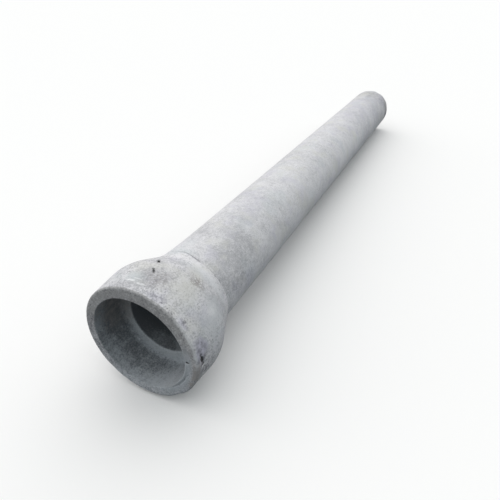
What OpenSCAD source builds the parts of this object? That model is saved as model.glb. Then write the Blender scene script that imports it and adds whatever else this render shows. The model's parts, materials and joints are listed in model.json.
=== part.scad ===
// Concrete sewer pipe with a bell socket at one end and a plain spigot at the other.
// Cast in one piece and turned from one half-section. It lies on its side on a level floor, touching it with the
// crown of the bell and with the spigot's edge, so its axis falls a little towards the spigot.
// Millimetres. The floor is Z = 0, the mouth of the bell faces -X and the spigot is at +X.

/* [Barrel] */
// Inside diameter of the waterway
bore_d = 250; // [150:5:450]
// Thickness of the barrel's wall
barrel_wall = 25; // [18:1:60]
// Length that one pipe adds to a laid line, from the socket's seat to the spigot's end
laying_length = 3000; // [1000:10:4000]

/* [Bell] */
// Depth of the socket, from the mouth's face to the seat that the next spigot butts against
socket_depth = 120; // [70:1:200]
// Gap all round the next spigot, which the jointing mortar fills
joint_gap = 16; // [6:1:30]
// Thickness of the bell's wall at the mouth
rim_wall = 36; // [25:1:70]
// Rise of the bell's outside between the mouth and its crown
bell_swell = 11; // [2:1:25]
// Distance from the seat to the corner where the bell turns into its shoulder
crown_past_seat = 13; // [0:1:40]
// Length of the shoulder that brings the bell down to the collar at its end
shoulder_length = 142; // [90:1:300]
// Height of the step at the collar, where the shoulder stops short of the barrel
collar_step = 5; // [2:0.5:12]

/* [Edges] */
// Radius of the bell's crown, where it turns into the shoulder
crown_round = 146; // [40:1:160]
// Radius of the collar's edge
collar_round = 2; // [0.5:0.5:4]
// Radius of the corner between the collar's step and the barrel
foot_round = 2; // [0.5:0.5:4]
// Radius of the mouth's outer edge
rim_round = 8; // [2:1:12]
// Radius of the mouth's inner edge
lip_round = 3; // [2:1:12]
// Radius of the corner between the socket's wall and its seat
seat_round = 9; // [2:1:12]
// Radius of the edge between the seat and the waterway
step_round = 6; // [2:1:12]
// Radius of the spigot's two edges
spigot_round = 4; // [2:1:8]

/* [Hidden] */

concrete = [0.70, 0.70, 0.69];
// Steps in each rounded corner of the half-section, and sides of the turned surfaces
round_steps = 8;
turned_sides = 144;

bore_r = bore_d / 2;
barrel_r = bore_r + barrel_wall;
socket_r = barrel_r + joint_gap;
rim_r = socket_r + rim_wall;
crown_r = rim_r + bell_swell;
crown_at = socket_depth + crown_past_seat;
collar_at = crown_at + shoulder_length;
collar_r = barrel_r + collar_step;
pipe_length = socket_depth + laying_length;

// Corners of the half-section in order: distance from the mouth, radius, and rounding
corners = [
    [0, rim_r, rim_round],
    [crown_at, crown_r, crown_round],
    [collar_at, collar_r, collar_round],
    [collar_at, barrel_r, foot_round],
    [pipe_length, barrel_r, spigot_round],
    [pipe_length, bore_r, spigot_round],
    [socket_depth, bore_r, step_round],
    [socket_depth, socket_r, seat_round],
    [0, socket_r, lip_round],
];
rim_corner = 0;
crown_corner = 1;
spigot_corner = 4;

function place(i) = let (c = corners[(i + len(corners)) % len(corners)]) [c[0], c[1]];
function to_previous(i) = place(i - 1) - place(i);
function to_next(i) = place(i + 1) - place(i);
function unit(v) = v / norm(v);

// Half of the angle that the section's two edges make at a corner
function half_angle(i) = acos(unit(to_previous(i)) * unit(to_next(i))) / 2;

// Radius of a corner's arc, held to less than half of the shorter edge beside it
function arc_radius(i) =
    min(corners[i][2], 0.48 * min(norm(to_previous(i)), norm(to_next(i))) * tan(half_angle(i)));

function arc_centre(i) =
    place(i) + unit(unit(to_previous(i)) + unit(to_next(i))) * arc_radius(i) / sin(half_angle(i));

// Points along a corner's arc, from the edge before it to the edge after it
function arc_points(i) =
    let (
        reach = arc_radius(i) / tan(half_angle(i)),
        start = place(i) + unit(to_previous(i)) * reach - arc_centre(i),
        end = place(i) + unit(to_next(i)) * reach - arc_centre(i),
        sweep = 180 - 2 * half_angle(i)
    )
    [
        for (k = [0 : round_steps])
            let (turn = sweep * k / round_steps)
            arc_centre(i) + (sin(sweep - turn) * start + sin(turn) * end) / sin(sweep)
    ];

half_section = [for (i = [0 : len(corners) - 1], p = arc_points(i)) [p[1], p[0]]];

// The floor is the line that touches the crown's arc and the arc of the spigot's outer edge
crown_centre = arc_centre(crown_corner);
spigot_centre = arc_centre(spigot_corner);
rim_centre = arc_centre(rim_corner);
between = spigot_centre - crown_centre;
fall = asin((arc_radius(crown_corner) - arc_radius(spigot_corner)) / norm(between)) - atan2(between[1], between[0]);

// Height of the mouth's centre above the floor, and the lying pipe's two ends measured along the floor from there
mouth_height = crown_centre * [sin(fall), cos(fall)] + arc_radius(crown_corner);
mouth_end = rim_centre * [cos(fall), -sin(fall)] - arc_radius(rim_corner);
spigot_end = spigot_centre * [cos(fall), sin(fall)] + arc_radius(spigot_corner);

module pipe() {
    color(concrete)
        translate([-(mouth_end + spigot_end) / 2, 0, mouth_height])
            rotate([0, 90 + fall, 0])
                rotate_extrude($fn = turned_sides)
                    polygon(half_section);
}

pipe();
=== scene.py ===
"""Concrete sewer pipe: the cast skin with its wear, the concrete's finish and a plain stage.

The skin is turned from the same half-section as the frame's pipe and stands for it. Lengths are metres.
The floor is Z = 0, the mouth of the bell faces -X and the spigot is at +X. Places on the pipe are given by
the distance along it from the mouth's face and by the angle round it, from the top and positive towards +Y.
"""

import json
import math
from typing import NamedTuple

import bmesh
import bpy
import numpy as np
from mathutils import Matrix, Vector, kdtree, noise


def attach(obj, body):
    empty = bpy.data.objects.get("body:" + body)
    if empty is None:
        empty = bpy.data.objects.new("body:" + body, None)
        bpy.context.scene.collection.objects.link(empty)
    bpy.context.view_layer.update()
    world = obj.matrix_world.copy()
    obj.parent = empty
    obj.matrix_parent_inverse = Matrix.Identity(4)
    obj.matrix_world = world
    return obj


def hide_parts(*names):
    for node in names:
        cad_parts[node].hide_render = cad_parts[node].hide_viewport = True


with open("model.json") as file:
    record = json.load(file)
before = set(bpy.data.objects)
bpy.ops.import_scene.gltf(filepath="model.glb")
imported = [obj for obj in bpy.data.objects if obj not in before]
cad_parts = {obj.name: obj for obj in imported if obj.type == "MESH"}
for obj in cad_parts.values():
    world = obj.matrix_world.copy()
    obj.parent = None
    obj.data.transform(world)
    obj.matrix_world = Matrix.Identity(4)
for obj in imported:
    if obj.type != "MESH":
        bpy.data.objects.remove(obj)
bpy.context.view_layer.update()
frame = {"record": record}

bl_info = {
    "name": "Concrete sewer pipe",
    "version": (1, 0, 0),
    "blender": (4, 5, 0),
    "location": "3D View > Sidebar > Pipe",
    "description": "Casts a concrete socket-and-spigot pipe over its frame and lights it on a plain stage",
    "category": "Object",
}

PIPE_NODE = "pipe"
PIPE_BODY = "root"
MILLIMETRE = 0.001


# The pipe's own directions and main sizes, from the frame's mounts

mounts = {mount["name"]: mount for mount in frame["record"]["mounts"]}


def mount_place(name):
    return np.array(mounts[name]["pos_m"])


def mount_radius(name):
    return mounts[name]["dims"]["r_mm"] * MILLIMETRE


def distance_from_rim(name):
    return float((mount_place(name) - mount_place("mouth_rim")) @ PIPE_AXIS)


PIPE_AXIS = np.array(mounts["spigot"]["axis"])
PIPE_SIDE = np.array([0.0, 1.0, 0.0])
PIPE_TOP = np.cross(PIPE_AXIS, PIPE_SIDE)
MOUTH_CENTRE = mount_place("waterway") - PIPE_AXIS * distance_from_rim("waterway")
BORE_RADIUS = mount_radius("waterway")
BARREL_RADIUS = mount_radius("spigot")
SOCKET_RADIUS = mount_radius("socket")
SOCKET_DEPTH = distance_from_rim("socket_seat")
PIPE_LENGTH = distance_from_rim("spigot_end")


# Settings that a user would change


def length(name, description, default):
    return bpy.props.FloatProperty(
        name=name, description=description, default=default, min=0.0, unit="LENGTH", precision=4
    )


def count(name, description, default):
    return bpy.props.IntProperty(name=name, description=description, default=default, min=0)


def colour(name, description, default):
    return bpy.props.FloatVectorProperty(
        name=name, description=description, default=default, size=3, min=0.0, max=1.0, subtype="COLOR"
    )


def place(name, description, default):
    return bpy.props.FloatVectorProperty(
        name=name, description=description, default=default, size=3, subtype="TRANSLATION", unit="LENGTH"
    )


class PipeSizes(bpy.types.PropertyGroup):
    """Sizes of the half-section that the frame's mounts don't give."""

    rim_wall: length("Rim wall", "Thickness of the bell's wall at the mouth", 0.036)
    bell_swell: length("Bell swell", "Rise of the bell's outside between the mouth and its crown", 0.011)
    crown_past_seat: length("Crown past seat", "From the seat to the corner where the shoulder begins", 0.013)
    shoulder_length: length("Shoulder length", "Length of the shoulder down to its collar", 0.142)
    collar_step: length("Collar step", "Height of the step where the shoulder stops", 0.005)
    crown_round: length("Crown radius", "Radius where the bell turns into its shoulder", 0.146)
    collar_round: length("Collar radius", "Radius of the collar's edge", 0.002)
    foot_round: length("Foot radius", "Radius of the corner between the collar's step and the barrel", 0.002)
    rim_round: length("Rim radius", "Radius of the mouth's outer edge", 0.008)
    lip_round: length("Lip radius", "Radius of the mouth's inner edge", 0.003)
    seat_round: length("Seat radius", "Radius of the corner between the socket's wall and its seat", 0.009)
    step_round: length("Step radius", "Radius of the edge between the seat and the waterway", 0.006)
    spigot_round: length("Spigot radius", "Radius of the spigot's two edges", 0.004)


class CastRelief(bpy.types.PropertyGroup):
    """Unevenness, collar, holes and wear of the cast skin."""

    seed: count("Seed", "Seed of the scattered air holes", 7)
    wave_depth: length("Wave depth", "Depth of the long waves in the cast skin", 0.0012)
    lump_depth: length("Lump depth", "Depth of the small lumps in the cast skin", 0.0006)
    neck_fill: length("Neck fill", "Extra concrete on the upper side of the neck behind the bell", 0.0060)
    collar_drift: length("Collar drift", "How far the collar runs on along the pipe on its upper side", 0.018)
    collar_wander: length("Collar wander", "How far the collar strays along the pipe elsewhere", 0.004)
    lip_bulge: length("Lip bulge", "Extra concrete inside the mouth, round one side of its lip", 0.0075)
    edge_wear: length("Edge wear", "Depth of the chips along the worn edges", 0.0042)
    bell_holes: count("Bell holes", "Air holes scattered over the outside of the bell", 18)
    barrel_holes: count("Barrel holes", "Air holes scattered over the barrel", 70)
    socket_holes: count("Socket holes", "Air holes scattered over the socket's wall", 22)


class ConcreteFinish(bpy.types.PropertyGroup):
    """Colours of the concrete and of its stains, some of which also paint light and shade."""

    pale: colour("Pale cement", "Dry, pale cement skin", (0.766, 0.764, 0.788))
    dark: colour("Dark cement", "Darker, denser cement skin", (0.410, 0.414, 0.434))
    lavender: colour("Lavender cast", "Faint lavender cast of some patches", (0.560, 0.552, 0.640))
    # The teal colour also paints a bluish highlight along the bell's shoulder
    teal: colour("Teal cast", "Faint teal cast of some patches", (0.545, 0.600, 0.625))
    beige: colour("Beige cast", "Faint beige cast of some patches and of the seat", (0.655, 0.655, 0.610))
    # The dirt colour also paints shade under the bell's lower edge, at the spigot's end and in the collar's
    # crease
    dirt_and_shade: colour("Dirt", "Dark purple-grey dirt", (0.150, 0.148, 0.172))
    # The pit colour is painted shade at the bottom of the air holes, the gouges and the lip's crack
    pit_shade: colour("Pit", "Bottom of the air holes and gouges", (0.045, 0.046, 0.046))
    # The lime colour also paints highlights along the worn edges and on the lip
    lime_and_highlight: colour("Lime bloom", "White lime smears and worn edges", (0.830, 0.845, 0.860))
    rim: colour("Rim", "Dull concrete of the mouth's face", (0.358, 0.355, 0.355))
    socket: colour("Socket", "Dusty concrete of the lower rim, socket and waterway", (0.413, 0.446, 0.479))
    # The damp colour also paints shade near the mouth, beside the seat and on the lip's lower side
    damp_and_shade: colour("Damp", "Damp concrete inside the bell and the waterway", (0.135, 0.145, 0.158))
    umber: colour("Umber", "Brown of the socket, the rim's edge and honeycombed skin", (0.300, 0.280, 0.272))


class StageSettings(bpy.types.PropertyGroup):
    """Camera, light and floor."""

    camera_place: place("Camera place", "Where the camera stands", (-2.2481, -0.6926, 1.1446))
    camera_aim: place("Camera aim", "Point on the floor that the camera looks at", (-0.6552, 0.0658, 0.0))
    lens: bpy.props.FloatProperty(
        name="Lens", description="Focal length in millimetres on a 36 mm sensor", default=31.11, unit="CAMERA"
    )
    sky_level: bpy.props.FloatProperty(
        name="Sky level", description="Mean brightness of the sky", default=0.66, min=0.0
    )
    sky_swing: bpy.props.FloatProperty(
        name="Sky swing", description="How much brighter the sky is on its bright side", default=0.74, min=0.0
    )
    bright_side: bpy.props.FloatVectorProperty(
        name="Bright side", description="Direction of the sky's bright side",
        default=(0.42, 0.46, 0.78), size=3, subtype="DIRECTION",
    )
    bright_sky: colour("Bright sky", "Colour of the sky's bright side", (1.0, 0.995, 0.985))
    dim_sky: colour("Dim sky", "Colour of the sky's dim side", (0.83, 0.96, 1.0))
    floor_colour: colour("Floor colour", "Floor as the camera sees it", (0.96, 0.96, 0.96))
    floor_bounce: colour("Floor bounce", "Floor as the light that it sends back", (0.105, 0.112, 0.122))
    floor_size: length("Floor size", "Length of the floor's side", 120.0)


SETTING_GROUPS = (
    ("pipe_sizes", PipeSizes),
    ("pipe_relief", CastRelief),
    ("pipe_finish", ConcreteFinish),
    ("pipe_stage", StageSettings),
)


# Half-section of the pipe

ARC_POINTS = 40
WALK_STEP = 0.25 * MILLIMETRE
# Columns round the pipe: along the mouth's outer edge, round the bell, socket and spigot end, and elsewhere
EDGE_COLUMNS = 512
FINE_COLUMNS = 256
COARSE_COLUMNS = 128
EDGE_BAND = 0.014
FINE_OUTSIDE = 0.34
FINE_INSIDE = 0.15
FINE_SPIGOT = 0.025
# Distance along the pipe and the wanted spacing of rows there, in millimetres
OUTSIDE_SPACING = ((0, 1.2), (9, 1.3), (16, 3.4), (256, 3.6), (270, 1.2), (273, 0.7), (278, 0.7), (283, 2),
                   (300, 4), (420, 22), (3060, 22), (3095, 3), (3120, 1.4))
INSIDE_SPACING = ((0, 1.7), (6, 3.4), (104, 3.4), (110, 2.2), (124, 2.2), (134, 4), (190, 20), (420, 50),
                  (3040, 50), (3095, 4), (3120, 1.6))


def unit(vector):
    return vector / np.linalg.norm(vector)


def smooth(value, low, high):
    """0 up to low, 1 from high on, and a smooth rise between; it falls if high is below low."""
    share_of_way = np.clip((value - low) / (high - low), 0.0, 1.0)
    return share_of_way * share_of_way * (3.0 - 2.0 * share_of_way)


def collar_at(sizes):
    """Distance from the mouth to the collar's step."""
    return SOCKET_DEPTH + sizes.crown_past_seat + sizes.shoulder_length


def section_corners(sizes):
    """Corners of the half-section, from the mouth's outer edge, as (distance along, radius, rounding)."""
    rim_radius = SOCKET_RADIUS + sizes.rim_wall
    crown_at = SOCKET_DEPTH + sizes.crown_past_seat
    return [
        (0.0, rim_radius, sizes.rim_round),
        (crown_at, rim_radius + sizes.bell_swell, sizes.crown_round),
        (collar_at(sizes), BARREL_RADIUS + sizes.collar_step, sizes.collar_round),
        (collar_at(sizes), BARREL_RADIUS, sizes.foot_round),
        (PIPE_LENGTH, BARREL_RADIUS, sizes.spigot_round),
        (PIPE_LENGTH, BORE_RADIUS, sizes.spigot_round),
        (SOCKET_DEPTH, BORE_RADIUS, sizes.step_round),
        (SOCKET_DEPTH, SOCKET_RADIUS, sizes.seat_round),
        (0.0, SOCKET_RADIUS, sizes.lip_round),
    ]


def section_path(corners):
    """Points round the half-section, with an arc at each corner."""
    places = [np.array(corner[:2]) for corner in corners]
    path = []
    for i, (_, _, rounding) in enumerate(corners):
        here = places[i]
        back = unit(places[i - 1] - here)
        onward = unit(places[(i + 1) % len(places)] - here)
        half_angle = math.acos(back @ onward) / 2
        centre = here + unit(back + onward) * rounding / math.sin(half_angle)
        start = here + back * rounding / math.tan(half_angle) - centre
        end = here + onward * rounding / math.tan(half_angle) - centre
        sweep = math.pi - 2 * half_angle
        for turn in np.linspace(0.0, sweep, ARC_POINTS):
            path.append(centre + (math.sin(sweep - turn) * start + math.sin(turn) * end) / math.sin(sweep))
    return np.array(path)


class Section(NamedTuple):
    """The half-section walked in small steps: distance along, radius, and whether that is the outside."""

    along: np.ndarray
    radius: np.ndarray
    outside: np.ndarray


def walk_section(sizes):
    path = section_path(section_corners(sizes))
    closed = np.vstack([path, path[:1]])
    walked = np.concatenate([[0.0], np.cumsum(np.linalg.norm(np.diff(closed, axis=0), axis=1))])
    steps = np.arange(0.0, walked[-1], WALK_STEP)
    along = np.interp(steps, walked, closed[:, 0])
    radius = np.interp(steps, walked, closed[:, 1])
    past_spigot = (along > PIPE_LENGTH / 2) & (radius < (BARREL_RADIUS + BORE_RADIUS) / 2)
    outside = np.arange(len(steps)) < np.argmax(past_spigot)
    return Section(along, radius, outside)


def section_rows(section):
    """Picks the rows of the skin: places in the walked section, close together where the shape is fine."""
    in_millimetres = section.along / MILLIMETRE
    spacing = np.where(
        section.outside,
        np.interp(in_millimetres, *zip(*OUTSIDE_SPACING)),
        np.interp(in_millimetres, *zip(*INSIDE_SPACING)),
    )
    row_number = np.cumsum(WALK_STEP / MILLIMETRE / spacing)
    row_count = round(row_number[-1])
    return np.searchsorted(row_number, np.arange(row_count) * row_number[-1] / row_count)


def point_on_pipe(along, radius, angle):
    """Points in the frame, for numbers or arrays. The angle is in radians."""
    along, radius, angle = np.broadcast_arrays(along, radius, angle)
    return (
        MOUTH_CENTRE
        + along[..., None] * PIPE_AXIS
        + (radius * np.cos(angle))[..., None] * PIPE_TOP
        + (radius * np.sin(angle))[..., None] * PIPE_SIDE
    )


def place_on_pipe(points):
    """The distance along the pipe, the radius and the angle in radians of each point."""
    from_mouth = points - MOUTH_CENTRE
    rise = from_mouth @ PIPE_TOP
    sideways = from_mouth @ PIPE_SIDE
    return from_mouth @ PIPE_AXIS, np.hypot(rise, sideways), np.arctan2(sideways, rise)


def row_columns(section, row, sizes):
    """Columns of a row: twice as many round the fine shapes, and twice again along the mouth's outer edge."""
    along = section.along[row]
    if math.hypot(along, section.radius[row] - SOCKET_RADIUS - sizes.rim_wall) < EDGE_BAND:
        return EDGE_COLUMNS
    fine_end = FINE_OUTSIDE if section.outside[row] else FINE_INSIDE
    fine = along < fine_end or along > PIPE_LENGTH - FINE_SPIGOT
    return FINE_COLUMNS if fine else COARSE_COLUMNS


def turned_skin(section, sizes):
    """Points and faces of the closed skin."""
    rows = section_rows(section)
    columns = [row_columns(section, row, sizes) for row in rows]
    starts = np.concatenate([[0], np.cumsum(columns)]).tolist()
    points = []
    faces = []
    for i, row in enumerate(rows):
        angles = np.arange(columns[i]) * 2 * math.pi / columns[i]
        points.append(point_on_pipe(section.along[row], section.radius[row], angles))
        j = (i + 1) % len(rows)
        faces.extend(band_faces(starts[i], columns[i], starts[j], columns[j]))
    return np.vstack(points), faces


def band_faces(start, columns, next_start, next_columns):
    """Faces between two rows; where one row has twice the columns, three triangles fill each of its pairs."""
    if columns == next_columns:
        for k in range(columns):
            k_next = (k + 1) % columns
            yield (start + k, start + k_next, next_start + k_next, next_start + k)
        return
    turned = columns < next_columns
    if turned:
        start, columns, next_start, next_columns = next_start, next_columns, start, columns
    for k in range(next_columns):
        first = start + 2 * k
        middle = first + 1
        last = start + (2 * k + 2) % columns
        near = next_start + k
        far = next_start + (k + 1) % next_columns
        for triangle in ((first, middle, near), (middle, far, near), (middle, last, far)):
            yield triangle[::-1] if turned else triangle


# Holes, gouges and other hollows in the skin


class Hollow(NamedTuple):
    """A hollow in the skin: its place, its half-lengths along and round the pipe, and its depth.

    Lengths are in millimetres and the angle is in degrees. A radius is given only where the place is not on
    the outside.
    """

    along: float
    angle: float
    half_length: float
    half_width: float
    depth: float
    radius: float = 0.0


# Hollows that show in their own places
NAMED_HOLLOWS = (
    Hollow(13, -33.3, 3, 2.6, 2.8),
    Hollow(9, -39, 2.4, 2.6, 2.0),
    Hollow(20, -50.7, 4.5, 4, 1.8),
    Hollow(25, -17.3, 4, 3.2, 1.8),
    Hollow(275, -45, 4, 6, 4),
    Hollow(76, -29, 2.6, 2.6, 2.0),
    Hollow(59, -22, 2.8, 2.4, 2.0),
    Hollow(50, -105, 3, 3, 2.5),
    Hollow(611, -74, 3.5, 3, 2.4),
    Hollow(623, -31, 3, 3, 2.2),
    Hollow(1249, -27, 4.5, 4, 2.4),
    Hollow(2930, -6, 7, 7, 4),
    Hollow(0, -90, 6.5, 6.5, 5.5, 171),
)
# Two slanting pits on top of the bell and the gouge beside its mouth, as hollows that run into each other
SLANTING_PITS = (
    Hollow(150, 2.8, 7.5, 6.5, 9),
    Hollow(158, 4.6, 8, 7, 12),
    Hollow(166, 6.4, 7.5, 6.5, 9),
    Hollow(95, -3.2, 4.8, 4.4, 4),
    Hollow(101, -1.9, 5.4, 5, 5.6),
    Hollow(107, -0.6, 5.2, 4.8, 5),
)
GOUGE = (
    Hollow(22, -80, 5, 7, 2),
    Hollow(24, -83, 7, 9, 3.5),
    Hollow(26, -87, 9, 10, 5.5),
    Hollow(28, -90, 10, 10, 6.2),
    Hollow(31, -94, 8, 9, 4.6),
    Hollow(35, -98, 5, 8, 3),
    Hollow(42, -88, 3, 8, 1.8),
    Hollow(46, -101, 4, 5, 2.2),
)
# The crack along the lower side of the mouth's lip as (angle, radius, depth), and the hollows that make it
LIP_CRACK = ((-164, 167, 1.0), (-152, 166.5, 2.0), (-141, 168.5, 2.4), (-131, 172, 3.6), (-119, 173.5, 3.6),
             (-109, 174.5, 2.8), (-103, 177, 1.2))
CRACK_STEP = 2.0
CRACK_HALF_WIDTH = 3.0
CRACK_WANDER = 2.6
CRACK_NOISE_SCALE = 0.35
# Patches of honeycombed skin as (distance along, angle, half-length, half-angle, number of holes)
HONEYCOMBS = (
    (157, -36, 18, 6, 14),
    (84, -15, 44, 10, 12),
)
HONEYCOMB_SIZES = (1.3, 2.6)
HONEYCOMB_DEPTH = 0.7
# Scattered air holes as (lowest and highest distance along, smallest and largest size)
BELL_HOLES = (12, 320, 1.2, 2.6)
BARREL_HOLES = (330, 3100, 1.8, 4.0)
SOCKET_HOLES = (4, SOCKET_DEPTH / MILLIMETRE - 12, 1.6, 3.2)
AIR_HOLE_DEPTH = 0.8


def lip_crack():
    """Small uneven hollows in a row that follows the crack and wanders a little."""
    angles, radii, depths = zip(*LIP_CRACK)
    for angle in np.arange(angles[0], angles[-1], CRACK_STEP):
        wander = noise.noise(Vector((CRACK_NOISE_SCALE * angle, 0.0, 0.0)))
        uneven = 1 + noise.noise(Vector((CRACK_NOISE_SCALE * angle, 8.0, 0.0)))
        size = CRACK_HALF_WIDTH * (0.6 + 0.4 * uneven)
        depth = np.interp(angle, angles, depths) * (0.4 + 0.6 * uneven)
        radius = np.interp(angle, angles, radii) + CRACK_WANDER * wander
        yield Hollow(0, angle, size, size, depth, radius)


def scattered(generator, number, low, high, smallest, largest, radius=0.0):
    """Air holes at random places between two distances along the pipe, more of them small than large."""
    for _ in range(number):
        size = smallest * (largest / smallest) ** (generator.random() ** 2)
        stretch = 0.8 + 0.4 * generator.random()
        yield Hollow(
            generator.uniform(low, high), generator.uniform(-180, 180), size * stretch, size / stretch,
            size * AIR_HOLE_DEPTH, radius,
        )


def honeycomb(generator):
    """Small holes close together, at random places in each patch."""
    for along, angle, half_length, half_angle, number in HONEYCOMBS:
        for _ in range(number):
            size = generator.uniform(*HONEYCOMB_SIZES)
            yield Hollow(
                along + half_length * generator.uniform(-1, 1), angle + half_angle * generator.uniform(-1, 1),
                size, size, size * HONEYCOMB_DEPTH,
            )


def all_hollows(relief):
    generator = np.random.default_rng(relief.seed)
    yield from NAMED_HOLLOWS
    yield from SLANTING_PITS
    yield from GOUGE
    yield from lip_crack()
    yield from honeycomb(generator)
    yield from scattered(generator, relief.bell_holes, *BELL_HOLES)
    yield from scattered(generator, relief.barrel_holes, *BARREL_HOLES)
    yield from scattered(generator, relief.socket_holes, *SOCKET_HOLES, SOCKET_RADIUS / MILLIMETRE)


class Dent(NamedTuple):
    """A hollow set on the skin: its centre, the direction round the pipe there, half-lengths and depth."""

    centre: np.ndarray
    round_way: np.ndarray
    half_length: float
    half_width: float
    depth: float


def set_on_skin(hollow, section):
    angle = math.radians(hollow.angle)
    radius = hollow.radius * MILLIMETRE
    if not radius:
        radius = np.interp(
            hollow.along * MILLIMETRE, section.along[section.outside], section.radius[section.outside]
        )
    return Dent(
        point_on_pipe(hollow.along * MILLIMETRE, radius, angle),
        PIPE_SIDE * math.cos(angle) - PIPE_TOP * math.sin(angle),
        hollow.half_length * MILLIMETRE,
        hollow.half_width * MILLIMETRE,
        hollow.depth * MILLIMETRE,
    )


REFINE_MARGIN = 1.5 * MILLIMETRE
REFINED_EDGE = 1.3 * MILLIMETRE
REFINE_PASSES = 3
# Shares of a dent's size: how far its ragged edge can reach, its raggedness, and where its full depth begins
DENT_REACH = 1.4
DENT_RAGGEDNESS = 0.5
DENT_FLOOR = 0.5
# Depth at which the painted shade in a hollow is darkest
FULL_HOLLOW = 6.0 * MILLIMETRE


def refine_round(skin, dents):
    """Splits the faces in and beside each dent until they are small enough for its shape."""
    for _ in range(REFINE_PASSES):
        skin.faces.ensure_lookup_table()
        tree = kdtree.KDTree(len(skin.faces))
        for face in skin.faces:
            tree.insert(face.calc_center_median(), face.index)
        tree.balance()
        edges = set()
        for dent in dents:
            size = max(dent.half_length, dent.half_width)
            longest_allowed = max(REFINED_EDGE, size / 4)
            for _, index, _ in tree.find_range(dent.centre, size + REFINE_MARGIN):
                for edge in skin.faces[index].edges:
                    if edge.calc_length() > longest_allowed:
                        edges.add(edge)
        bmesh.ops.subdivide_edges(skin, edges=list(edges), cuts=1, use_grid_fill=True)
        skin.faces.index_update()


def fractal(points, scale, octaves, offset):
    """Fractal noise from about 0 to 1 at each point."""
    shift = Vector((offset, 2 * offset, 3 * offset))
    return np.array([
        0.5 + 0.5 * noise.fractal(Vector(point) * scale + shift, 1.0, 2.0, octaves) for point in points
    ])


def dent_depths(points, dents):
    """How far each point sinks in the dents, in metres."""
    tree = kdtree.KDTree(len(points))
    for i, point in enumerate(points):
        tree.insert(point, i)
    tree.balance()
    sunk = np.zeros(len(points))
    for dent in dents:
        size = max(dent.half_length, dent.half_width)
        near = [index for _, index, _ in tree.find_range(dent.centre, DENT_REACH * size)]
        if not near:
            continue
        offset = points[near] - dent.centre
        along = offset @ PIPE_AXIS / dent.half_length
        round_pipe = offset @ dent.round_way / dent.half_width
        inward = offset - np.outer(offset @ PIPE_AXIS, PIPE_AXIS)
        inward -= np.outer(offset @ dent.round_way, dent.round_way)
        across = np.linalg.norm(inward, axis=1) / size
        ragged = DENT_RAGGEDNESS * (fractal(points[near], 0.9 / size, 2, 5.0) - 0.5)
        reach = np.sqrt(along ** 2 + round_pipe ** 2 + across ** 2) + ragged
        sunk[near] = np.maximum(sunk[near], dent.depth * smooth(reach, 1.0, DENT_FLOOR))
    return sunk


# Unevenness, wear and marks of the skin

# Fractal noises as (scale, octaves, offset)
WAVE_NOISE = (2.6, 2, 1.0)
LUMP_NOISE = (24.0, 3, 2.0)
COLLAR_NOISE = (7.0, 2, 3.0)
CREASE_NOISE = (22.0, 2, 4.0)
CHIP_NOISE = (12.0, 2, 6.0)
FINE_CHIP_NOISE = (45.0, 2, 9.0)
STRETCH_NOISE = (6.0, 2, 7.0)
# Angles in degrees at which a form begins, is full, is last full, and ends
COLLAR_DRIFT_ANGLES = (-24, 10, 70, 130)
NECK_FILL_ANGLES = (-2, 32, 80, 140)
LIP_BULGE_ANGLES = (-146, -126, -22, 62)
DARK_CREASE_ANGLES = (-26, -12, 10, 26)
FAINT_CREASE_ANGLES = (14, 30, 180, 190)
# Where the worn edges are palest, as a painted highlight on that side
EDGE_HIGHLIGHT_ANGLES = (-98, -86, -52, -40)
# Where a form begins and where it is full: distances past the collar, then distances from the mouth and radii
DRIFT_BEFORE_COLLAR = (-0.040, 0.0)
DRIFT_PAST_COLLAR = (0.065, 0.006)
NECK_FILL_RISE = (-0.020, 0.025)
LIP_BULGE_LENGTH = (0.040, 0.004)
LIP_BULGE_RADII = (SOCKET_RADIUS + 0.016, SOCKET_RADIUS + 0.001)
OUTSIDE_RADII = (BARREL_RADIUS - 0.010, BARREL_RADIUS - 0.002)
INSIDE_RADII = (BARREL_RADIUS + 0.030, SOCKET_RADIUS)
SEAT_FACE_LENGTH = (0.09, 0.11)
SPIGOT_FACE_DEPTH = 0.004
# The neck's fill is whole up to this distance past the collar. It then dies away in parts, as (share, length)
NECK_FILL_HELD = 0.040
NECK_FILL_DECAYS = ((0.65, 0.05), (0.35, 0.8))
# The crease's painted shade and dirt: its middle past the collar and its half-width
CREASE_PAST_COLLAR = 0.0040
CREASE_HALF_WIDTH = 0.0045


def angle_window(angle, low, full_from, full_to, high):
    """1 between two angles, falling smoothly to 0 at the low and the high one. They are in degrees."""
    degrees = np.degrees(angle)
    return smooth(degrees, low, full_from) * smooth(degrees, high, full_to)


def collar_drift(points, along, angle, sizes, relief):
    """How far the collar strays along the pipe. The shoulder and the barrel beside it give way smoothly."""
    past = along - collar_at(sizes)
    give = smooth(past, *DRIFT_BEFORE_COLLAR) * smooth(past, *DRIFT_PAST_COLLAR)
    run_on = relief.collar_drift * angle_window(angle, *COLLAR_DRIFT_ANGLES)
    return give * (run_on + relief.collar_wander * (fractal(points, *COLLAR_NOISE) - 0.55))


def neck_fill(along, angle, sizes, relief):
    """Extra thickness on the upper side of the neck. Most of it dies away soon, the rest along the barrel."""
    past = along - collar_at(sizes)
    rise = smooth(past, *NECK_FILL_RISE)
    beyond = np.maximum(past - NECK_FILL_HELD, 0.0)
    decay = sum(share * np.exp(-beyond / distance) for share, distance in NECK_FILL_DECAYS)
    return relief.neck_fill * rise * decay * angle_window(angle, *NECK_FILL_ANGLES)


def lip_bulge(along, radius, angle, relief):
    """How far the mouth's lip reaches in on one side."""
    near = smooth(along, *LIP_BULGE_LENGTH) * smooth(radius, *LIP_BULGE_RADII)
    return relief.lip_bulge * near * angle_window(angle, *LIP_BULGE_ANGLES)


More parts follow.
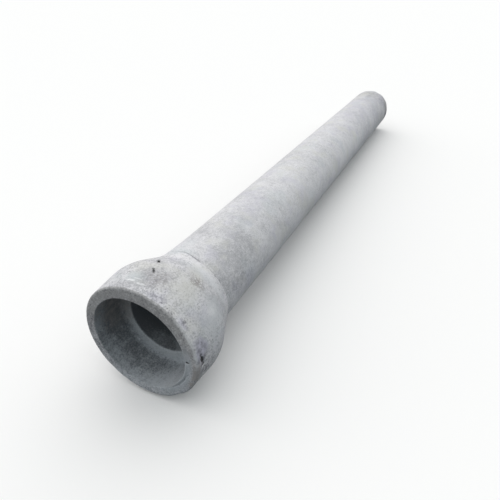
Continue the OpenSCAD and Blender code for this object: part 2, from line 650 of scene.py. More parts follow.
def collar_crease_shade(points, along, radius, angle, sizes):
    """How dark the painted shade and dirt in the crease at the foot of the collar's step are."""
    past = along - collar_at(sizes)
    foot = np.exp(-(((past - CREASE_PAST_COLLAR) / CREASE_HALF_WIDTH) ** 2))
    foot *= smooth(radius, BARREL_RADIUS + 0.8 * sizes.collar_step, BARREL_RADIUS + 0.3 * sizes.collar_step)
    strong = 0.32 + 0.5 * angle_window(angle, *DARK_CREASE_ANGLES)
    strong -= 0.2 * angle_window(angle, *FAINT_CREASE_ANGLES)
    return foot * strong * (0.4 + 0.6 * smooth(fractal(points, *CREASE_NOISE), 0.3, 0.6))


class WornEdge(NamedTuple):
    """A circle along which the edge is chipped: its place, the chips' reach and depth, and how pale they are,
    as wear and painted highlight.

    The depth is a share of the edge wear.
    """

    along: float
    radius: float
    reach: float
    depth: float
    pale: float


def worn_edges(sizes):
    return (
        WornEdge(0.0, SOCKET_RADIUS + sizes.rim_wall, 0.008, 1.0, 0.9),
        WornEdge(0.0, SOCKET_RADIUS, 0.004, 0.3, 0.0),
        WornEdge(collar_at(sizes), BARREL_RADIUS + sizes.collar_step, 0.004, 0.4, 1.0),
        WornEdge(PIPE_LENGTH, BARREL_RADIUS, 0.008, 0.9, 0.8),
        WornEdge(PIPE_LENGTH, BORE_RADIUS, 0.006, 0.8, 0.5),
    )


def edge_chips(points, along, radius, angle, sizes, relief):
    """Depth of the chips along the worn edges, and how pale the wear and the painted highlight are there."""
    ragged = 0.75 * fractal(points, *CHIP_NOISE) + 0.25 * fractal(points, *FINE_CHIP_NOISE)
    stretches = smooth(fractal(points, *STRETCH_NOISE), 0.35, 0.7)
    chips = smooth(ragged, 0.48, 0.80) * (0.10 + 0.90 * stretches)
    depth = np.zeros(len(points))
    worn_and_highlit = np.zeros(len(points))
    for edge in worn_edges(sizes):
        near = np.exp(-((np.hypot(along - edge.along, radius - edge.radius) / edge.reach) ** 2))
        depth += relief.edge_wear * edge.depth * near * chips
        worn_and_highlit = np.maximum(worn_and_highlit, edge.pale * near ** 2)
    # The edges are palest on one side, where the paleness is a painted highlight
    return depth, worn_and_highlit * (0.15 + 0.70 * angle_window(angle, *EDGE_HIGHLIGHT_ANGLES))


class Skin(NamedTuple):
    """The uneven skin: where each point moves to, and its shares of the finish's marks."""

    points: np.ndarray
    shares: dict


def skin_sides(along, radius, outward):
    """How far each point is on the outside, and how far it is inside the socket or the waterway.

    The last value is how far the skin faces away from the pipe's axis, from -1 to 1.
    """
    outside = smooth(radius, *OUTSIDE_RADII) * smooth(outward, -0.5, 0.0)
    facing_axis = smooth(outward, -0.3, -0.8)
    facing_mouth = smooth(along, *SEAT_FACE_LENGTH) * smooth(outward, 0.3, 0.05)
    inside = np.maximum(facing_axis, facing_mouth) * smooth(radius, *INSIDE_RADII)
    inside *= smooth(along, PIPE_LENGTH, PIPE_LENGTH - SPIGOT_FACE_DEPTH)
    behind_seat = (along > SOCKET_DEPTH + 0.02) & (radius > BARREL_RADIUS - 0.01)
    return outside, np.where(behind_seat, 0.0, inside)


def uneven_skin(points, normals, dents, sizes, relief):
    along, radius, angle = place_on_pipe(points)
    radial = np.outer(np.cos(angle), PIPE_TOP) + np.outer(np.sin(angle), PIPE_SIDE)
    outside, inside = skin_sides(along, radius, np.sum(normals * radial, axis=1))
    waves = relief.wave_depth * fractal(points, *WAVE_NOISE)
    lumps = relief.lump_depth * fractal(points, *LUMP_NOISE)
    chips, worn_and_highlit = edge_chips(points, along, radius, angle, sizes, relief)
    dented = dent_depths(points, dents)
    thicker = outside * neck_fill(along, angle, sizes, relief) - lip_bulge(along, radius, angle, relief)
    drift = outside * collar_drift(points, along, angle, sizes, relief)
    moved = points - normals * (waves + lumps + chips + dented)[:, None]
    moved += radial * thicker[:, None] + np.outer(drift, PIPE_AXIS)
    shares = {
        "hollow": np.clip(dented / FULL_HOLLOW, 0.0, 1.0),
        "worn_and_highlit": worn_and_highlit,
        "inside": inside,
        "crease": collar_crease_shade(points, along, radius, angle, sizes) * outside,
    }
    return Skin(moved, shares)


def add_share(mesh, name, values):
    attribute = mesh.attributes.new(name, "FLOAT", "POINT")
    attribute.data.foreach_set("value", values.astype(np.float32))


def cast_pipe(sizes, relief):
    """The pipe's detailed skin as a mesh, with the shares that its finish follows."""
    section = walk_section(sizes)
    points, faces = turned_skin(section, sizes)
    mesh = bpy.data.meshes.new("cast_pipe")
    mesh.from_pydata(points.tolist(), [], faces)

    skin = bmesh.new()
    skin.from_mesh(mesh)
    bmesh.ops.recalc_face_normals(skin, faces=skin.faces)
    dents = [set_on_skin(hollow, section) for hollow in all_hollows(relief)]
    refine_round(skin, dents)
    skin.normal_update()
    points = np.array([vertex.co for vertex in skin.verts])
    normals = np.array([vertex.normal for vertex in skin.verts])
    uneven = uneven_skin(points, normals, dents, sizes, relief)
    for vertex, moved in zip(skin.verts, uneven.points):
        vertex.co = moved
    many_sided = [face for face in skin.faces if len(face.verts) > 4]
    bmesh.ops.triangulate(skin, faces=many_sided)
    skin.to_mesh(mesh)
    skin.free()

    for name, values in uneven.shares.items():
        add_share(mesh, name, values)
    mesh.shade_smooth()
    return mesh


# Shader maths


class Wire:
    """A shader value that takes part in Python arithmetic: each operation adds a Math node."""

    def __init__(self, graph, socket):
        self.graph = graph
        self.socket = socket

    def __add__(self, other):
        return self.graph.math("ADD", self, other)

    def __radd__(self, other):
        return self.graph.math("ADD", other, self)

    def __sub__(self, other):
        return self.graph.math("SUBTRACT", self, other)

    def __rsub__(self, other):
        return self.graph.math("SUBTRACT", other, self)

    def __mul__(self, other):
        return self.graph.math("MULTIPLY", self, other)

    def __rmul__(self, other):
        return self.graph.math("MULTIPLY", other, self)

    def __truediv__(self, other):
        return self.graph.math("DIVIDE", self, other)

    def __rtruediv__(self, other):
        return self.graph.math("DIVIDE", other, self)


class Graph:
    """A node tree that is written as expressions."""

    def __init__(self, tree):
        self.tree = tree
        self.tree.nodes.clear()

    def node(self, kind, settings=None, inputs=None, output=0):
        """Adds a node: its settings first, then the values or wires of its sockets. Gives one output."""
        made = self.tree.nodes.new(kind)
        for name, value in (settings or {}).items():
            setattr(made, name, value)
        for name, value in (inputs or {}).items():
            if isinstance(value, Wire):
                self.tree.links.new(value.socket, made.inputs[name])
            else:
                made.inputs[name].default_value = value
        return Wire(self, made.outputs[output]) if made.outputs else None

    def math(self, operation, *values):
        return self.node("ShaderNodeMath", {"operation": operation}, dict(enumerate(values)))

    def larger(self, a, b):
        return self.math("MAXIMUM", a, b)

    def smooth(self, value, low, high):
        """0 at low and 1 at high, with a smooth rise or fall between."""
        sockets = {"Value": value, "From Min": low, "From Max": high}
        return self.node("ShaderNodeMapRange", {"interpolation_type": "SMOOTHSTEP"}, sockets)

    def mix(self, first, second, factor):
        """Blends two colours, each a wire or red, green and blue."""
        first, second = (value if isinstance(value, Wire) else (*value, 1.0) for value in (first, second))
        return self.node("ShaderNodeMix", {"data_type": "RGBA"}, {0: factor, 6: first, 7: second}, output=2)

    def dot(self, vector, direction):
        return self.node(
            "ShaderNodeVectorMath", {"operation": "DOT_PRODUCT"}, {0: vector, 1: direction}, output="Value"
        )

    def shifted(self, vector, offset):
        return self.node("ShaderNodeVectorMath", {"operation": "ADD"}, {0: vector, 1: offset})

    def scaled(self, vector, factors):
        return self.node("ShaderNodeVectorMath", {"operation": "MULTIPLY"}, {0: vector, 1: factors})

    def noise(self, vector, scale, detail, roughness, distortion=0.0):
        sockets = {
            "Vector": vector, "Scale": scale, "Detail": detail,
            "Roughness": roughness, "Distortion": distortion,
        }
        return self.node("ShaderNodeTexNoise", None, sockets)

    def attribute(self, name):
        return self.node("ShaderNodeAttribute", {"attribute_name": name}, output="Fac")


def swing(value, strength):
    """The swing of a noise about its middle."""
    return (value - 0.5) * strength


# Concrete finish, with painted light and shade


class Patch(NamedTuple):
    """A patch of the finish: its place, its half-lengths along the pipe and round it, and its strength.

    Lengths are in millimetres and angles in degrees.
    """

    along: float
    angle: float
    half_length: float
    half_angle: float
    strength: float


# Paler and darker parts of the skin, some of them painted light and shade; a strength below 0 is darker
TONE_LIGHT_AND_SHADE_PATCHES = (
    Patch(250, -45, 36, 75, 0.28),
    Patch(400, -52, 130, 34, -0.20),
    Patch(425, 14, 120, 26, -0.18),
    Patch(640, -12, 150, 45, -0.10),
    Patch(78, 0, 78, 14, -0.24),
    Patch(30, 12, 34, 22, -0.12),
    Patch(110, -74, 55, 24, 0.14),
    Patch(28, -79, 34, 13, -0.45),
    # Painted shade along the bell's lower edge
    Patch(32, -106, 44, 14, -0.25),
    # Painted light on the barrel's shaded side, in this patch and the next
    Patch(1450, -88, 850, 42, 0.18),
    Patch(1300, -114, 1300, 26, 0.36),
    Patch(720, -92, 110, 26, 0.16),
    Patch(1950, -65, 600, 40, 0.12),
    Patch(2990, 5, 190, 70, -0.40),
    # Painted shade on the rounded edge at the spigot's end
    Patch(3080, -80, 70, 40, -0.25),
)
LAVENDER_PATCHES = (
    Patch(20, -20, 20, 14, 0.50),
    Patch(29, -78, 36, 13, 1.30),
    Patch(14, -51, 12, 7, 0.80),
    Patch(90, -8, 50, 14, 0.30),
    Patch(60, -52, 22, 9, 0.40),
    Patch(420, -88, 110, 24, 0.35),
    Patch(2550, -25, 600, 70, 0.35),
)
# Dirt in its own places, with painted shade along the bell's lower edge and at the spigot's end
DIRT_AND_SHADE_PATCHES = (
    Patch(30, -88, 26, 13, 0.90),
    Patch(29, -76, 24, 9, 0.70),
    # Painted shade along the bell's lower edge
    Patch(48, -104, 42, 10, 0.80),
    Patch(85, -8, 60, 16, 0.50),
    Patch(20, -18, 18, 12, 0.50),
    Patch(22, -51, 14, 6, 0.75),
    Patch(17, -27, 10, 3, 0.70),
    Patch(10, -37, 8, 3, 0.60),
    Patch(390, -77, 90, 24, 0.30),
    Patch(2900, -8, 60, 10, 0.40),
    # Painted shade on the rounded edge at the spigot's end
    Patch(3070, -84, 80, 34, 1.00),
    Patch(3040, -10, 90, 50, 0.50),
)
BEIGE_PATCHES = (
    Patch(96, -34, 64, 17, 0.90),
    Patch(170, -33, 40, 10, 0.45),
    Patch(20, -36, 18, 8, 0.50),
    Patch(2980, 10, 160, 40, 0.60),
)
# Faint teal stains, and a painted bluish highlight along the bell's shoulder
BLUISH_STAIN_AND_HIGHLIGHT_PATCHES = (
    Patch(60, 8, 26, 14, 0.60),
    Patch(292, 10, 42, 18, 0.60),
    Patch(120, -68, 90, 24, 0.45),
    # Painted bluish highlight along the bell's shoulder
    Patch(225, -40, 40, 40, 0.40),
)
LIME_PATCHES = (
    Patch(41, 8, 6, 6, 0.80),
    Patch(36, -3, 5, 5, 0.85),
    Patch(52, 3, 3, 5, 0.60),
    Patch(128, -62, 22, 7, 0.25),
)
# Parts of the skin with less texture
PLAIN_PATCHES = (
    Patch(130, -64, 80, 18, 0.55),
    Patch(225, -45, 40, 50, 0.50),
    Patch(95, -34, 40, 11, 0.35),
)
HONEYCOMB_PATCHES = (
    Patch(160, -35, 30, 10, 1.0),
    Patch(84, -10, 50, 14, 0.5),
)


PATCH_RAGGEDNESS = 2.2
PATCH_EDGE = (1.2, 0.2)


class PipePlace:
    """Shader values for a place on the pipe: distance from the mouth, radius, angle in radians, and height.

    The height is 1 along the pipe's top and -1 along its underside.
    """

    def __init__(self, graph, position):
        from_mouth = graph.shifted(position, tuple(-MOUTH_CENTRE))
        self.graph = graph
        self.along = graph.dot(from_mouth, tuple(PIPE_AXIS))
        sideways = graph.dot(from_mouth, tuple(PIPE_SIDE))
        rise = graph.dot(from_mouth, tuple(PIPE_TOP))
        self.angle = graph.math("ARCTAN2", sideways, rise)
        self.radius = graph.math("SQRT", sideways * sideways + rise * rise)
        self.height = rise / self.radius

    def by_length(self, low, high):
        """0 at the low distance from the mouth and 1 at the high one."""
        return self.graph.smooth(self.along, low, high)

    def by_radius(self, low, high):
        """0 at the low radius and 1 at the high one."""
        return self.graph.smooth(self.radius, low, high)

    def facing(self, degrees):
        """1 at that angle round the pipe, falling to -1 opposite."""
        return self.graph.math("COSINE", self.angle - math.radians(degrees))

    def side(self, degrees, low, high):
        """One side of the pipe: 0 where facing that angle is low and 1 where it is high."""
        return self.graph.smooth(self.facing(degrees), low, high)

    def patch(self, patch, ragged):
        """1 in the middle of a patch, falling to 0 along a ragged edge, times its strength."""
        lengthwise = (self.along - patch.along * MILLIMETRE) / (patch.half_length * MILLIMETRE)
        widthwise = (self.angle - math.radians(patch.angle)) / math.radians(patch.half_angle)
        reach = self.graph.math("SQRT", lengthwise * lengthwise + widthwise * widthwise)
        return self.graph.smooth(reach + swing(ragged, PATCH_RAGGEDNESS), *PATCH_EDGE) * patch.strength

    def patches(self, patches, ragged):
        """All the patches together, the strongest at each place."""
        masks = [self.patch(patch, ragged) for patch in patches]
        whole = masks[0]
        for mask in masks[1:]:
            whole = self.graph.larger(whole, mask)
        return whole

    def tones(self, patches, ragged):
        """All the patches added together."""
        masks = [self.patch(patch, ragged) for patch in patches]
        return sum(masks[1:], masks[0])


# Noises of the concrete as (scale, detail, roughness, distortion)
CLOUDS = (3.2, 3.0, 0.55)
RINGS = (6.0, 3.0, 0.5)
RING_STRETCH = (1.0, 0.35, 0.35)
DRIFTS = (9.0, 4.0, 0.65)
BLOTCHES = (19.0, 4.0, 0.6, 0.4)
MOTTLE = (60.0, 3.0, 0.65)
SPECKLE = (180.0, 2.0, 0.7)
GRAIN = (520.0, 2.0, 0.6)
# Pores as (scale of their cells, radius in metres, share of the cells that have one)
LARGE_PORES = (48.0, 0.0016, 0.4)
SMALL_PORES = (120.0, 0.0009, 0.5)
PORE_FLOOR = 0.4
HONEYCOMB_SCALE = 105.0
HONEYCOMB_WALLS = (0.24, 0.06)
# Faint casts of colour all over the skin as (colour, scale, shift, strength), with their detail and roughness
VEILS = (("lavender", 11.0, 1.7, 0.35), ("teal", 8.0, 4.1, 0.25), ("beige", 10.0, 7.3, 0.40))
VEIL_DETAIL = (3.0, 0.55)
VEIL_EDGE = (0.50, 0.68)
# Stains in their own places, the teal one with a painted highlight, as (colour, patches, strength)
STAINS = (("beige", BEIGE_PATCHES, 0.6), ("teal", BLUISH_STAIN_AND_HIGHLIGHT_PATCHES, 0.6), ("lavender", LAVENDER_PATCHES, 0.7))
# Where parts of the finish begin and where they are full, as distances from the mouth
BELL_LENGTH = (0.34, 0.24)
RIM_LENGTH = (0.0072, 0.0048)
RIM_RAGGEDNESS = 0.004
BROWN_EDGE_LENGTH = (0.024, 0.010)
LIP_LENGTH = (0.006, 0.001)
# The lip's painted highlight beside the crack
LIP_HIGHLIGHT_LENGTH = (0.012, 0.005)
NEAR_MOUTH = (0.075, 0.010)
MIDDLE_START = (0.030, 0.065)
MIDDLE_END = (0.118, 0.100)
SEAT_LENGTH = (0.088, 0.117)
WATERWAY_LENGTH = (0.119, 0.130)
# The same, given as radii
WORN_LIP_RADII = (SOCKET_RADIUS + 0.026, SOCKET_RADIUS + 0.006)
BROWN_EDGE_RADII = (SOCKET_RADIUS + 0.016, SOCKET_RADIUS + 0.026)
LIP_RADII = (SOCKET_RADIUS + 0.006, SOCKET_RADIUS)
LIP_HIGHLIGHT_RADII = (SOCKET_RADIUS, SOCKET_RADIUS - 0.004)
SEAT_OUTER_RADII = (SOCKET_RADIUS + 0.004, SOCKET_RADIUS - 0.026)
SEAT_INNER_RADII = (BORE_RADIUS - 0.001, BORE_RADIUS + 0.004)
WATERWAY_RADII = (BORE_RADIUS + 0.010, BORE_RADIUS + 0.002)
# The same, given as heights from 1 at the top to -1 at the underside
LOWER_HEIGHTS = (0.2, -0.7)
UPPER_HEIGHTS = (-0.5, 0.3)
# Sides of the mouth as (angle in degrees, how far they face it where they begin, and where they are full)
DIRTY_RIM_SIDE = (108, 0.70, 0.97)
PALE_RIM_SIDE = (-78, 0.80, 1.0)
WORN_LIP_SIDE = (-118, 0.55, 0.95)
BROWN_EDGE_SIDE = (-106, 0.93, 0.99)
LIP_HIGHLIGHT_SIDE = (-115, 0.88, 0.96)
# Painted shade on the socket's wall near the mouth, which faces away from the sky's bright side
PAINTED_SHADE_SIDE = (106, 0.85, 1.0)
DRY_SIDE = (68, 0.80, 1.0)
BROWN_SIDE = (70, 0.65, 1.0)
# Painted light on the socket's lower wall, which faces the sky's bright side
PAINTED_LIGHT_ANGLE = -138
# Where a noise or a mark begins to show and where it shows in full
PATCHY = (0.30, 0.55)
HOLLOW_SHADE = (0.15, 0.85)


class Concrete:
    """The concrete's finish: what its layers share, and the layers, each laid over the ones before."""

    def __init__(self, graph, finish):
        self.graph = graph
        self.finish = finish
        self.position = graph.node("ShaderNodeTexCoord", output="Object")
        self.pipe = PipePlace(graph, self.position)
        self.clouds = graph.noise(self.position, *CLOUDS)
        self.rings = graph.noise(graph.scaled(self.position, RING_STRETCH), *RINGS)
        self.drifts = graph.noise(self.position, *DRIFTS)
        self.blotches = graph.noise(self.position, *BLOTCHES)
        self.mottle = graph.noise(self.position, *MOTTLE)
        self.speckle = graph.noise(self.position, *SPECKLE)
        self.grain = graph.noise(self.position, *GRAIN)
        self.patchy = graph.smooth(self.mottle, *PATCHY)
        self.pores = graph.larger(self.air_pores(*LARGE_PORES), self.air_pores(*SMALL_PORES))
        self.worn_and_highlit = graph.attribute("worn_and_highlit")
        self.inside = graph.attribute("inside")
        self.bell = self.pipe.by_length(*BELL_LENGTH)
        self.lower = graph.smooth(self.pipe.height, *LOWER_HEIGHTS)
        self.texture = self.fine_texture()

    def air_pores(self, scale, radius, kept):
        """Small round pores at random: the share of the cells that keep theirs is given."""
        graph = self.graph
        sockets = {"Vector": self.position, "Scale": scale}
        distance = graph.node("ShaderNodeTexVoronoi", None, sockets, output="Distance")
        lot = graph.dot(graph.node("ShaderNodeTexVoronoi", None, sockets, output="Color"), (1.0, 0.0, 0.0))
        round_pore = graph.smooth(distance, radius * scale, PORE_FLOOR * radius * scale)
        return round_pore * graph.smooth(lot, 1 - kept, 1.02 - kept)

    def fine_texture(self):
        """Fine changes of tone about 0, stronger on the bell and weaker in the plain patches."""
        mottle = swing(self.mottle, 0.75 + self.bell * 0.7)
        speckle = swing(self.speckle, 1.0 + self.bell * 1.3)
        texture = mottle + speckle + swing(self.grain, 0.9)
        return texture * (1 - self.pipe.patches(PLAIN_PATCHES, self.clouds))

    def cast_skin(self):
        """Pale and dark cement with faint casts of colour, and patches of painted light and shade. On the
        bell the texture darkens it.
        """
        graph = self.graph
        tone = 0.64 + swing(self.clouds, 0.6) + swing(self.rings, 0.55) - self.bell * 0.11
        tone = tone + swing(self.blotches, 0.62 + self.bell * 0.13)
        # The tone patches add the concrete's own tone, and painted light and shade
        tone = tone + self.pipe.tones(TONE_LIGHT_AND_SHADE_PATCHES, self.clouds)
        pale_specks = graph.larger(self.texture, 0.0)
        dark_flecks = graph.larger(-0.10 - self.texture, 0.0)
        tone = tone - (pale_specks * 0.6 + dark_flecks * 0.9) * self.bell
        skin = graph.mix(self.finish.dark, self.finish.pale, graph.smooth(tone + self.texture, 0.0, 1.0))
        for tint, scale, shift, strength in VEILS:
            shifted = graph.shifted(self.position, (shift, shift, shift))
            veil = graph.smooth(graph.noise(shifted, scale, *VEIL_DETAIL), *VEIL_EDGE)
            skin = graph.mix(skin, getattr(self.finish, tint), veil * strength)
        return skin

    def stains(self, skin):
        """Stains, lime smears, dirt, painted shade, a painted highlight and honeycombed skin in their own
        places.
        """
        graph, pipe, finish = self.graph, self.pipe, self.finish
        for tint, patches, strength in STAINS:
            skin = graph.mix(skin, getattr(finish, tint), pipe.patches(patches, self.blotches) * strength)
        skin = graph.mix(skin, finish.lime_and_highlight, pipe.patches(LIME_PATCHES, self.mottle))
        broken_cover = graph.smooth(self.mottle + self.speckle * 0.6, 1.0, 0.55)
        # Dirt, and painted shade along the bell's lower edge and at the spigot's end
        skin = graph.mix(skin, finish.dirt_and_shade, pipe.patches(DIRT_AND_SHADE_PATCHES, self.blotches) * broken_cover)
        sockets = {"Vector": self.position, "Scale": HONEYCOMB_SCALE}
        net = graph.node("ShaderNodeTexVoronoi", {"feature": "DISTANCE_TO_EDGE"}, sockets)
        honeycomb = pipe.patches(HONEYCOMB_PATCHES, self.blotches) * graph.smooth(net, *HONEYCOMB_WALLS)
        return graph.mix(skin, finish.umber, honeycomb * 0.8)

    def rim_face(self, skin):
        """Dull concrete of the mouth's face, dirty on one side, with a worn lip and a brown outer edge."""
        graph, pipe, finish = self.graph, self.pipe, self.finish
        # On the rim the dirt colour lies as dirt only: dark flecks and one darker side
        dirt_and_shade = graph.smooth(self.texture, 0.0, -0.7) * 0.8 + pipe.side(*DIRTY_RIM_SIDE) * 0.46
        worn_lip = pipe.side(*WORN_LIP_SIDE) * pipe.by_radius(*WORN_LIP_RADII)
        rim_colour = graph.mix(finish.rim, finish.socket, self.lower)
        rim_colour = graph.mix(rim_colour, finish.dirt_and_shade, dirt_and_shade)
        rim_colour = graph.mix(rim_colour, finish.socket, worn_lip * 0.9)
        cover = 0.60 + graph.smooth(pipe.height, *UPPER_HEIGHTS) * 0.22 - pipe.side(*PALE_RIM_SIDE) * 0.20
        cover = cover - self.texture * 0.60 + worn_lip * 0.3
        face = graph.smooth(pipe.along + swing(self.mottle, RIM_RAGGEDNESS), *RIM_LENGTH) * (1 - self.worn_and_highlit)
        skin = graph.mix(skin, rim_colour, face * graph.smooth(cover, 0.0, 1.0))
        brown_edge = pipe.side(*BROWN_EDGE_SIDE) * pipe.by_radius(*BROWN_EDGE_RADII)
        brown_edge = brown_edge * pipe.by_length(*BROWN_EDGE_LENGTH) * self.patchy
        return graph.mix(skin, finish.umber, brown_edge * 0.85)

    def lining(self, skin):
        """Dusty, damp and brownish concrete inside the socket and the waterway, with painted light and shade
        on its wall.
        """
        graph, pipe, finish = self.graph, self.pipe, self.finish
        painted_light_side = pipe.facing(PAINTED_LIGHT_ANGLE)
        near_mouth = pipe.by_length(*NEAR_MOUTH)
        middle = pipe.by_length(*MIDDLE_START) * pipe.by_length(*MIDDLE_END)
        seat = pipe.by_length(*SEAT_LENGTH) * pipe.by_radius(*SEAT_INNER_RADII)
        seat = seat * pipe.by_radius(*SEAT_OUTER_RADII)
        waterway = pipe.by_length(*WATERWAY_LENGTH) * pipe.by_radius(*WATERWAY_RADII)
        socket = 1 - waterway

        # Share of the damp colour, raised by painted shade and lowered by painted light as marked below
        damp_and_shade_share = 0.68 + swing(self.drifts, 1.3) - swing(self.blotches, 0.5) - self.texture * 0.45
        # Painted light on the wall's lower side, which faces the sky's bright side
        damp_and_shade_share = damp_and_shade_share - painted_light_side * 0.34 - graph.smooth(painted_light_side, 0.7, 1.0) * 0.28
        damp_and_shade_share = damp_and_shade_share - near_mouth * 0.34 - seat * 0.62 + waterway * 0.50
        # Painted shade and dirt in blotches along the wall beside the seat
        damp_and_shade_share = damp_and_shade_share + middle * graph.smooth(self.blotches, 0.40, 0.65) * 0.17
        # Near the mouth, painted shade on the wall that faces away from the sky's bright side, and a lighter
        # band beside it
        damp_and_shade_share = damp_and_shade_share + near_mouth * (pipe.side(*PAINTED_SHADE_SIDE) * 0.22 - pipe.side(*DRY_SIDE) * 0.40)
        lining = graph.mix(finish.socket, finish.damp_and_shade, graph.smooth(damp_and_shade_share, 0.0, 1.0))
        lining = graph.mix(lining, finish.beige, seat * socket * 0.14)
        brown = 0.6 - near_mouth * 0.25 + seat * 0.2 + swing(self.mottle, 2.2) + swing(self.drifts, 1.6)
        lining = graph.mix(lining, finish.umber, pipe.side(*BROWN_SIDE) * socket * brown)
        lining = graph.mix(lining, finish.damp_and_shade, graph.smooth(self.texture, 0.1, -0.7) * socket * 0.40)
        # Pale bloom from the texture, and painted light on the wall's lower side
        bloom_and_light = graph.smooth(self.texture, 0.0, 0.8) * 0.12 + graph.smooth(painted_light_side, 0.88, 1.0) * 0.09
        lining = graph.mix(lining, finish.pale, bloom_and_light * socket)
        return graph.mix(skin, lining, self.inside)

    def lip(self, skin):
        """The mouth's inner edge: painted shade on its lower side, and a painted highlight on the lip beside
        the crack.
        """
        graph, pipe = self.graph, self.pipe
        lip = pipe.by_length(*LIP_LENGTH) * pipe.by_radius(*LIP_RADII)
        # Painted shade on the lip's lower side, over the light that its rounded edge catches
        skin = graph.mix(skin, self.finish.damp_and_shade, lip * self.lower * 0.25)
        # Painted highlight on the lip beside the crack, in the lime colour
        lip_highlight = pipe.by_length(*LIP_HIGHLIGHT_LENGTH) * pipe.by_radius(*LIP_HIGHLIGHT_RADII) * pipe.side(*LIP_HIGHLIGHT_SIDE)
        return graph.mix(skin, self.finish.lime_and_highlight, lip_highlight * 0.16)

    def wear(self, skin):
        """Pale worn edges with a painted highlight, painted shade and dirt in the crease, darker pores, and
        painted shade in the hollows.
        """
        graph, finish = self.graph, self.finish
        # Pale worn edges, with a painted highlight on one side
        skin = graph.mix(skin, finish.lime_and_highlight, self.worn_and_highlit * self.patchy * (1 - self.inside) * 0.85)
        # Painted shade and dirt in the collar's crease, and darker pores, in the dirt colour
        skin = graph.mix(skin, finish.dirt_and_shade, graph.larger(graph.attribute("crease") * 0.9, self.pores * 0.6))
        # Painted shade darkens the hollows towards the pit colour, the deeper the darker
        return graph.mix(skin, finish.pit_shade, graph.smooth(graph.attribute("hollow"), *HOLLOW_SHADE) * 0.95)

    def bump(self):
        height = self.blotches * 0.6 + self.mottle * 0.5 + self.speckle * 0.3 + self.grain * 0.12
        sockets = {"Strength": 0.5, "Distance": 0.0018, "Height": height - self.pores * 0.5}
        return self.graph.node("ShaderNodeBump", None, sockets)


def concrete_material(finish):
    material = bpy.data.materials.new("cast_concrete")
    material.use_nodes = True
    graph = Graph(material.node_tree)
    concrete = Concrete(graph, finish)
    skin = concrete.cast_skin()
    for layer in (concrete.stains, concrete.rim_face, concrete.lining, concrete.lip, concrete.wear):
        skin = layer(skin)
    sockets = {
        "Base Color": skin,
        "Roughness": 0.80 + concrete.mottle * 0.18,
        "Specular IOR Level": 0.35,
        "Normal": concrete.bump(),
    }
    shader = graph.node("ShaderNodeBsdfPrincipled", None, sockets)
    graph.node("ShaderNodeOutputMaterial", None, {"Surface": shader})
    return material


# Stage

WHITE = (1.0, 1.0, 1.0)


def seen_directly(graph):
    """1 for the rays that show the background: from the camera, or by gloss or glass."""
    kinds = ("Is Camera Ray", "Is Glossy Ray", "Is Transmission Ray")
    camera, glossy, through = (graph.node("ShaderNodeLightPath", output=kind) for kind in kinds)
    return graph.larger(graph.larger(camera, glossy), through)


def floor_material(stage):
    material = bpy.data.materials.new("pale_floor")
    material.use_nodes = True
    graph = Graph(material.node_tree)
    shown = graph.mix(stage.floor_bounce, stage.floor_colour, seen_directly(graph))
    shader = graph.node("ShaderNodeBsdfDiffuse", None, {"Color": shown})
    graph.node("ShaderNodeOutputMaterial", None, {"Surface": shader})
    return material


def soft_sky(stage):
    """A white background that lights the pipe as a soft sky, brighter and warmer on one side."""
    world = bpy.data.worlds.new("soft_sky")
    world.use_nodes = True
    graph = Graph(world.node_tree)
    direction = graph.node("ShaderNodeTexCoord", output="Generated")
    towards_bright = graph.dot(direction, tuple(unit(np.array(stage.bright_side))))
    level = graph.larger(stage.sky_level + towards_bright * stage.sky_swing, 0.0)
    tint = graph.mix(stage.dim_sky, stage.bright_sky, graph.smooth(towards_bright, -0.7, 0.7))
    direct = seen_directly(graph)
    sockets = {"Color": graph.mix(tint, WHITE, direct), "Strength": level * (1 - direct) + direct}
    background = graph.node("ShaderNodeBackground", None, sockets)
    graph.node("ShaderNodeOutputWorld", None, {"Surface": background})
    return world


def flat_floor(stage):
    half = stage.floor_size / 2
    mesh = bpy.data.meshes.new("floor")
    corners = [(-half, -half, 0.0), (half, -half, 0.0), (half, half, 0.0), (-half, half, 0.0)]
    mesh.from_pydata(corners, [], [(0, 1, 2, 3)])
    mesh.materials.append(floor_material(stage))
    return bpy.data.objects.new("floor", mesh)


def aimed_camera(stage):
    data = bpy.data.cameras.new("camera")
    data.lens = stage.lens
    camera = bpy.data.objects.new("camera", data)
    camera.location = stage.camera_place
    aim = Vector(stage.camera_aim) - Vector(stage.camera_place)
    camera.rotation_euler = aim.to_track_quat("-Z", "Y").to_euler()
    return camera


# Operators and panel


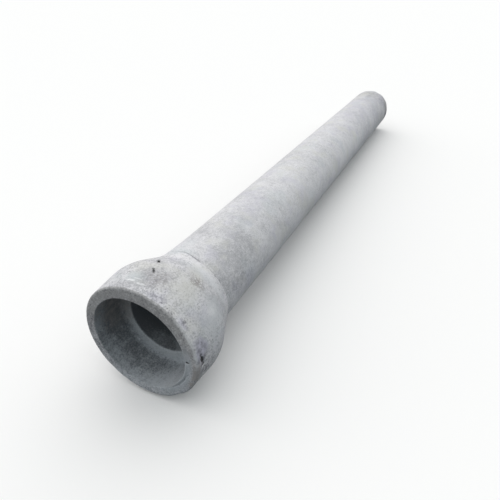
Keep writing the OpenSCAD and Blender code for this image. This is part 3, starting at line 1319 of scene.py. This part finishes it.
class PIPE_OT_cast(bpy.types.Operator):
    """Make the pipe's cast skin and its concrete finish, in place of the plain pipe"""

    bl_idname = "concrete_pipe.cast"
    bl_label = "Cast the pipe"

    def execute(self, context):
        scene = context.scene
        mesh = cast_pipe(scene.pipe_sizes, scene.pipe_relief)
        mesh.materials.append(concrete_material(scene.pipe_finish))
        piece = bpy.data.objects.new("cast_pipe", mesh)
        scene.collection.objects.link(piece)
        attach(piece, PIPE_BODY)
        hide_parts(PIPE_NODE)
        return {"FINISHED"}


class PIPE_OT_stage(bpy.types.Operator):
    """Make the floor, the soft sky and the camera"""

    bl_idname = "concrete_pipe.stage"
    bl_label = "Set the stage"

    def execute(self, context):
        scene = context.scene
        floor = flat_floor(scene.pipe_stage)
        camera = aimed_camera(scene.pipe_stage)
        for item in (floor, camera):
            scene.collection.objects.link(item)
        scene.camera = camera
        scene.world = soft_sky(scene.pipe_stage)
        scene.view_settings.view_transform = "Standard"
        return {"FINISHED"}


class PIPE_PT_panel(bpy.types.Panel):
    """Lists the steps that make the pipe and its stage"""

    bl_idname = "PIPE_PT_panel"
    bl_label = "Concrete sewer pipe"
    bl_space_type = "VIEW_3D"
    bl_region_type = "UI"
    bl_category = "Pipe"

    def draw(self, context):
        for operator in (PIPE_OT_cast, PIPE_OT_stage):
            self.layout.operator(operator.bl_idname)
        for name, group in SETTING_GROUPS:
            box = self.layout.box()
            for setting in group.__annotations__:
                box.prop(getattr(context.scene, name), setting)


CLASSES = (*(group for _, group in SETTING_GROUPS), PIPE_OT_cast, PIPE_OT_stage, PIPE_PT_panel)


def register():
    for cls in CLASSES:
        bpy.utils.register_class(cls)
    for name, group in SETTING_GROUPS:
        setattr(bpy.types.Scene, name, bpy.props.PointerProperty(type=group))


def unregister():
    for name, _ in SETTING_GROUPS:
        delattr(bpy.types.Scene, name)
    for cls in reversed(CLASSES):
        bpy.utils.unregister_class(cls)


def main():
    register()
    bpy.ops.concrete_pipe.cast()
    bpy.ops.concrete_pipe.stage()


if __name__ == "__main__":
    main()
